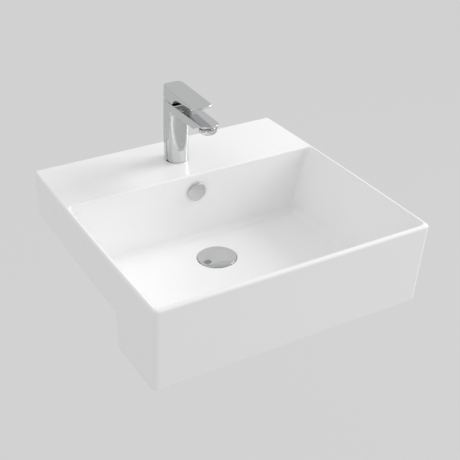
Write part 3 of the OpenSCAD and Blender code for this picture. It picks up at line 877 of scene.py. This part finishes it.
def bump(mat, source, strength, distance):
    """Fine relief from a noise."""
    shader = mat.node_tree.nodes["Principled BSDF"]
    node = add_node(mat, "ShaderNodeBump", Strength=strength, Distance=distance)
    mat.node_tree.links.new(source, node.inputs["Height"])
    mat.node_tree.links.new(node.outputs["Normal"], shader.inputs["Normal"])


def glazed_ceramic():
    mat = material("white_glaze", (0.96, 0.96, 0.96), 0.0, 0.16)
    vary(mat, "Base Color", noise(mat, 9.0), (0.948, 0.948, 0.946), (0.972, 0.972, 0.971))
    vary(mat, "Roughness", noise(mat, 30.0), 0.17, 0.25)
    bump(mat, noise(mat, 55.0, detail=1.0), 0.05, 0.0006)
    return mat


def chrome():
    mat = material("polished_chrome", (0.66, 0.665, 0.67), 1.0, 0.05)
    vary(mat, "Roughness", noise(mat, 160.0), 0.035, 0.07)
    bump(mat, noise(mat, 70.0, detail=1.0), 0.02, 0.0002)
    return mat


def brass():
    mat = material("turned_brass", (0.72, 0.55, 0.25), 1.0, 0.25)
    vary(mat, "Roughness", noise(mat, 40.0, stretch=(1, 1, 40)), 0.18, 0.34)
    vary(mat, "Base Color", noise(mat, 60.0), (0.66, 0.5, 0.22), (0.76, 0.6, 0.3))
    bump(mat, noise(mat, 60.0, stretch=(1, 1, 60)), 0.15, 0.0002)
    return mat


def steel():
    mat = material("stainless_steel", (0.62, 0.62, 0.63), 1.0, 0.28)
    vary(mat, "Roughness", noise(mat, 90.0, stretch=(1, 1, 12)), 0.2, 0.36)
    bump(mat, noise(mat, 200.0, stretch=(1, 1, 12)), 0.1, 0.0001)
    return mat


def rubber():
    mat = material("black_rubber", (0.03, 0.03, 0.03), 0.0, 0.7)
    vary(mat, "Roughness", noise(mat, 300.0), 0.6, 0.85)
    bump(mat, noise(mat, 900.0), 0.2, 0.0001)
    return mat


def clear_rubber():
    mat = material("silicone", (0.8, 0.81, 0.81), 0.0, 0.4)
    vary(mat, "Roughness", noise(mat, 250.0), 0.35, 0.5)
    bump(mat, noise(mat, 500.0), 0.1, 0.0001)
    return mat


def white_plastic():
    mat = material("moulded_plastic", (0.8, 0.8, 0.78), 0.0, 0.45)
    vary(mat, "Roughness", noise(mat, 200.0), 0.38, 0.52)
    bump(mat, noise(mat, 700.0), 0.12, 0.0001)
    return mat


def technical_ceramic():
    mat = material("lapped_ceramic", (0.78, 0.76, 0.72), 0.0, 0.3)
    vary(mat, "Roughness", noise(mat, 300.0), 0.22, 0.36)
    vary(mat, "Base Color", noise(mat, 400.0), (0.74, 0.72, 0.68), (0.82, 0.8, 0.76))
    return mat


MATERIALS = {
    "glazed_ceramic": glazed_ceramic(), "chrome": chrome(), "brass": brass(), "steel": steel(),
    "black_rubber": rubber(), "clear_rubber": clear_rubber(), "white_plastic": white_plastic(),
    "technical_ceramic": technical_ceramic(),
}


def finish_piece(obj, slot, body, *nodes):
    """Gives a new piece its material and its body, and hides the CAD nodes that it stands for."""
    obj.data.materials.clear()
    obj.data.materials.append(MATERIALS[slot])
    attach(obj, body)
    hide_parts(*nodes)


def dress_cad_nodes():
    """Every CAD node gets the material that the record names; most of them stay as they are."""
    slots = {s["node"]: s["material_slot"] for s in frame["record"]["subparts"]}
    for name, obj in frame["nodes"].items():
        obj.data.materials.clear()
        obj.data.materials.append(MATERIALS[slots[name]])


# ---------------------------------------------------------------- camera, floor and lights
CAMERA_LENS = 71.37
CAMERA_FROM_RIM = (-0.6176, -0.8828, 0.6876)     # metres from the middle of the rim's front edge
CAMERA_DOWN = 30.41                              # degrees
CAMERA_TURN = -29.52
LIGHT_TARGET = (0, -0.22, 0)
LIGHTS = (                                       # name, place, side of the square, watts
    ("key_right", (2.2, -0.3, 1.25), 1.3, 35),
    ("back_fill", (1.3, 2.3, 1.6), 3.0, 3),
    ("top_left", (-0.8, -0.5, 2.0), 1.5, 6.5),
    ("front_fill", (1.5, -2.1, 0.7), 1.4, 8),
)
WORLD_GREY = 0.8
WORLD_STRENGTH = 0.7
GROUND_Z = -0.75
GROUND_HALF = 12.0
GROUND_GREY = 0.04
GROUND_GLOW = 0.61


def add_camera():
    data = bpy.data.cameras.new("camera")
    data.sensor_width = 36
    data.lens = CAMERA_LENS
    camera = bpy.data.objects.new("camera", data)
    camera.location = Vector(CAMERA_FROM_RIM) + Vector((0, basin_lo.y, basin_hi.z))
    camera.rotation_euler = (math.radians(90 - CAMERA_DOWN), 0, math.radians(CAMERA_TURN))
    bpy.context.scene.collection.objects.link(camera)
    bpy.context.scene.camera = camera


def area_light(name, location, side, power):
    """A square soft light, aimed at the basin."""
    data = bpy.data.lights.new(name, "AREA")
    data.shape = "SQUARE"
    data.size = side
    data.energy = power
    light = bpy.data.objects.new(name, data)
    light.location = location
    direction = Vector(LIGHT_TARGET) - light.location
    light.rotation_euler = direction.to_track_quat("-Z", "Y").to_euler()
    bpy.context.scene.collection.objects.link(light)


def add_studio():
    for light in LIGHTS:
        area_light(*light)
    world = bpy.data.worlds.new("studio")
    world.use_nodes = True
    background = world.node_tree.nodes["Background"]
    background.inputs["Color"].default_value = (WORLD_GREY, WORLD_GREY, WORLD_GREY, 1)
    background.inputs["Strength"].default_value = WORLD_STRENGTH
    bpy.context.scene.world = world
    bpy.context.scene.view_settings.view_transform = "Standard"


def add_floor():
    mesh = bpy.data.meshes.new("floor")
    square = ((-1, -1), (1, -1), (1, 1), (-1, 1))
    corners = [(x * GROUND_HALF, y * GROUND_HALF, GROUND_Z) for x, y in square]
    mesh.from_pydata(corners, [], [(0, 1, 2, 3)])
    floor = new_object("floor", mesh)
    mat = material("pale_floor", (GROUND_GREY, GROUND_GREY, GROUND_GREY), 0.0, 0.9)
    shader = mat.node_tree.nodes["Principled BSDF"]
    shader.inputs["Specular IOR Level"].default_value = 0.0
    shader.inputs["Emission Color"].default_value = (1, 1, 1, 1)
    shader.inputs["Emission Strength"].default_value = GROUND_GLOW
    mesh.materials.append(mat)


add_camera()
add_floor()
add_studio()
dress_cad_nodes()
finish_piece(make_basin(), "glazed_ceramic", "basin_body", "basin")
finish_piece(make_tap_body(), "chrome", "basin_body", "tap_body")
finish_piece(make_lever(), "chrome", "lever_body", "tap_lever")
finish_piece(make_aerator(), "chrome", "basin_body", "aerator_housing")
finish_piece(make_shroud(), "chrome", "basin_body", "cartridge_shroud")
finish_piece(make_waste_body(), "chrome", "basin_body", "waste_body")
finish_piece(make_backnut(), "brass", "basin_body", "waste_backnut")
finish_piece(make_stud(), "steel", "basin_body", "tap_stud")
finish_piece(make_plug(), "chrome", "plug_body", "waste_plug")
finish_piece(make_overflow_cap(), "chrome", "basin_body", "overflow_cap")
